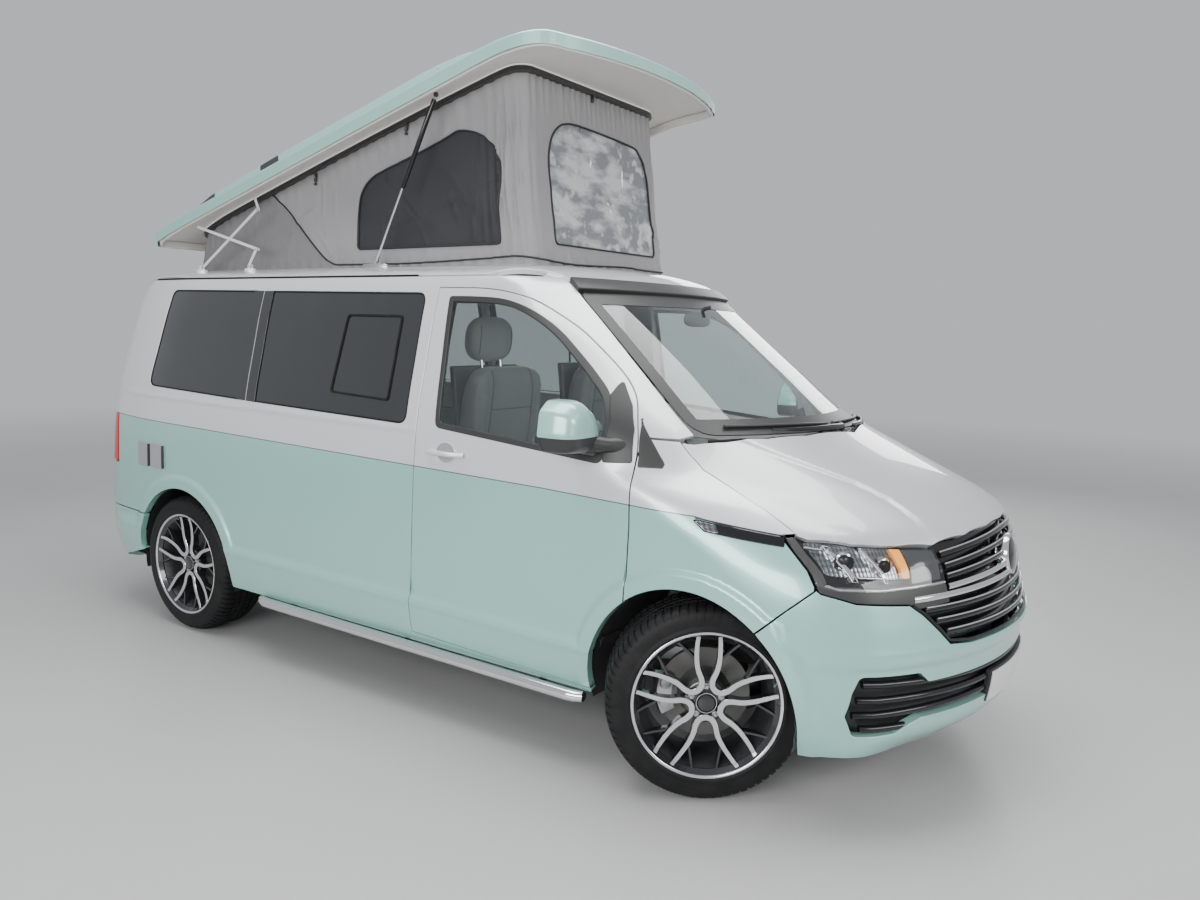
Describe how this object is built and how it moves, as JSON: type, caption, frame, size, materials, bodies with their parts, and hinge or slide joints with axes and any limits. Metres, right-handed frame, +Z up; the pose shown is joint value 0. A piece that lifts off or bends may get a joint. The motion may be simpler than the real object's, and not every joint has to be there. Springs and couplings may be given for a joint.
{
  "type": "camper van",
  "caption": "Panel-bodied camper van with a front-raised pop-top roof, canvas tent walls, two-tone paint, turned front wheels, opening front doors, tailgate and bonnet.",
  "frame": {"origin": "on the ground, at the middle of the length and width", "axes": "+X forward, +Y to the van's left, +Z up"},
  "size_m": [4.9029, 2.2944, 2.7912],
  "materials": {
    "paint": "metallic",
    "shell": "metallic",
    "glass": "clear",
    "dark_glass": "tinted",
    "cast": "rough",
    "tyre": "matte",
    "alloy": "machined and black",
    "lens": "clear",
    "red_lens": "gloss",
    "black_plastic": "satin",
    "steel": "satin",
    "fabric": "woven",
    "wood": "laminate",
    "chrome": "polished",
    "canvas": "woven",
    "aluminium": "satin",
    "steel_black": "satin",
    "white_steel": "satin"
  },
  "bodies": {
    "chassis": {"body_side_right": "paint", "body_side_left": "paint", "sliding_door": "paint", "side_glass": "dark_glass", "roof_panel": "paint", "windscreen": "glass", "front_wings": "paint", "headlamps": "lens", "tail_lamps": "red_lens", "front_bumper": "paint", "rear_bumper": "paint", "grille_upper": "black_plastic", "grille_lower": "black_plastic", "scuttle": "black_plastic", "floor_pan": "steel", "bulkhead": "steel", "chassis_rails": "steel", "engine_block": "cast", "front_subframe": "steel", "rear_axle": "steel", "front_seats": "fabric", "dashboard": "black_plastic", "steering_wheel": "black_plastic", "rear_bench": "fabric", "cabinet": "wood", "side_bars": "chrome", "wind_deflector": "black_plastic", "exhaust": "steel", "fuel_tank": "black_plastic", "canvas": "canvas", "stay_brackets": "aluminium"},
    "front_door_right": {"front_door_right": "paint", "door_glass_right": "glass", "mirror_right": "paint"},
    "knuckle_right": {"knuckle_right": "cast"},
    "wheel_front_right": {"tyre_front_right": "tyre", "rim_front_right": "alloy"},
    "wheel_rear_right": {"tyre_rear_right": "tyre", "rim_rear_right": "alloy"},
    "front_door_left": {"front_door_left": "paint", "door_glass_left": "glass", "mirror_left": "paint"},
    "knuckle_left": {"knuckle_left": "cast"},
    "wheel_front_left": {"tyre_front_left": "tyre", "rim_front_left": "alloy"},
    "wheel_rear_left": {"tyre_rear_left": "tyre", "rim_rear_left": "alloy"},
    "tailgate": {"tailgate": "paint", "tailgate_glass": "dark_glass"},
    "bonnet": {"bonnet": "paint"},
    "pop_top": {"pop_top_shell": "shell"},
    "stay_tubes": {"stay_tubes": "steel_black"},
    "stay_rods": {"stay_rods": "aluminium"},
    "scissor_arms_lower": {"scissor_arms_lower": "white_steel"},
    "scissor_arms_upper": {"scissor_arms_upper": "white_steel"},
    "scissor_links_lower": {"scissor_links_lower": "white_steel"},
    "scissor_links_upper": {"scissor_links_upper": "white_steel"}
  },
  "joints": [
    {"name": "steer_left", "type": "hinge", "parent": "chassis", "child": "knuckle_left", "pos_m": [1.543, 0.79, 0.356], "axis": [0, 0, 1], "range_deg": [-69, 3]},
    {"name": "spin_front_left", "type": "hinge", "parent": "knuckle_left", "child": "wheel_front_left", "pos_m": [1.52938, 0.81097, 0.356], "axis": [-0.5446, 0.8387, 0], "continuous": true},
    {"name": "spin_rear_left", "type": "hinge", "parent": "chassis", "child": "wheel_rear_left", "pos_m": [-1.457, 0.815, 0.356], "axis": [0, 1, 0], "continuous": true},
    {"name": "door_left", "type": "hinge", "parent": "chassis", "child": "front_door_left", "pos_m": [1.303, 0.945, 0.8], "axis": [0, 0, -1], "range_deg": [0, 70]},
    {"name": "steer_right", "type": "hinge", "parent": "chassis", "child": "knuckle_right", "pos_m": [1.543, -0.79, 0.356], "axis": [0, 0, 1], "range_deg": [-69, 3]},
    {"name": "spin_front_right", "type": "hinge", "parent": "knuckle_right", "child": "wheel_front_right", "pos_m": [1.55662, -0.81097, 0.356], "axis": [-0.5446, 0.8387, 0], "continuous": true},
    {"name": "spin_rear_right", "type": "hinge", "parent": "chassis", "child": "wheel_rear_right", "pos_m": [-1.457, -0.815, 0.356], "axis": [0, 1, 0], "continuous": true},
    {"name": "door_right", "type": "hinge", "parent": "chassis", "child": "front_door_right", "pos_m": [1.303, -0.945, 0.8], "axis": [0, 0, 1], "range_deg": [0, 70]},
    {"name": "tailgate_hinge", "type": "hinge", "parent": "chassis", "child": "tailgate", "pos_m": [-2.268, 0, 1.82], "axis": [0, 1, 0], "range_deg": [0, 85]},
    {"name": "bonnet_hinge", "type": "hinge", "parent": "chassis", "child": "bonnet", "pos_m": [1.392, 0, 1.268], "axis": [0, -1, 0], "range_deg": [0, 50]},
    {"name": "roof_raise", "type": "hinge", "parent": "chassis", "child": "pop_top", "pos_m": [-2.36, 0, 1.93], "axis": [0, 1, 0], "range_deg": [0, 15], "deforming": ["canvas"]},
    {"name": "stay_swing", "type": "hinge", "parent": "chassis", "child": "stay_tubes", "pos_m": [-0.31, 0, 1.922], "axis": [0, 1, 0], "range_deg": [-2, 56]},
    {"name": "stay_stroke", "type": "slide", "parent": "stay_tubes", "child": "stay_rods", "axis": [0.4751, 0, 0.8799], "range_m": [-0.36, 0]},
    {"name": "scissor_lower", "type": "hinge", "parent": "chassis", "child": "scissor_arms_lower", "pos_m": [-1.616, 0, 1.914], "axis": [0, 1, 0], "range_deg": [-1, 31]},
    {"name": "scissor_upper", "type": "hinge", "parent": "pop_top", "child": "scissor_arms_upper", "pos_m": [-1.638, 0, 2.127], "axis": [0, 1, 0], "range_deg": [-30, 1]},
    {"name": "link_lower", "type": "hinge", "parent": "chassis", "child": "scissor_links_lower", "pos_m": [-1.182, 0, 1.914], "axis": [0, 1, 0], "range_deg": [-1, 54]},
    {"name": "link_upper", "type": "hinge", "parent": "pop_top", "child": "scissor_links_upper", "pos_m": [-1.168, 0, 2.25], "axis": [0, 1, 0], "range_deg": [-82, 1]}
  ],
  "couplings": [
    {"joint": "steer_right", "follows": "steer_left", "ratio": 1},
    {"joint": "stay_swing", "follows": "roof_raise", "ratio": 3.6479},
    {"joint": "stay_stroke", "follows": "roof_raise", "m_per_rad": -1.2309},
    {"joint": "scissor_lower", "follows": "roof_raise", "ratio": 1.9037},
    {"joint": "scissor_upper", "follows": "roof_raise", "ratio": -1.8197},
    {"joint": "link_lower", "follows": "roof_raise", "ratio": 3.4767},
    {"joint": "link_upper", "follows": "roof_raise", "ratio": -5.3674}
  ]
}
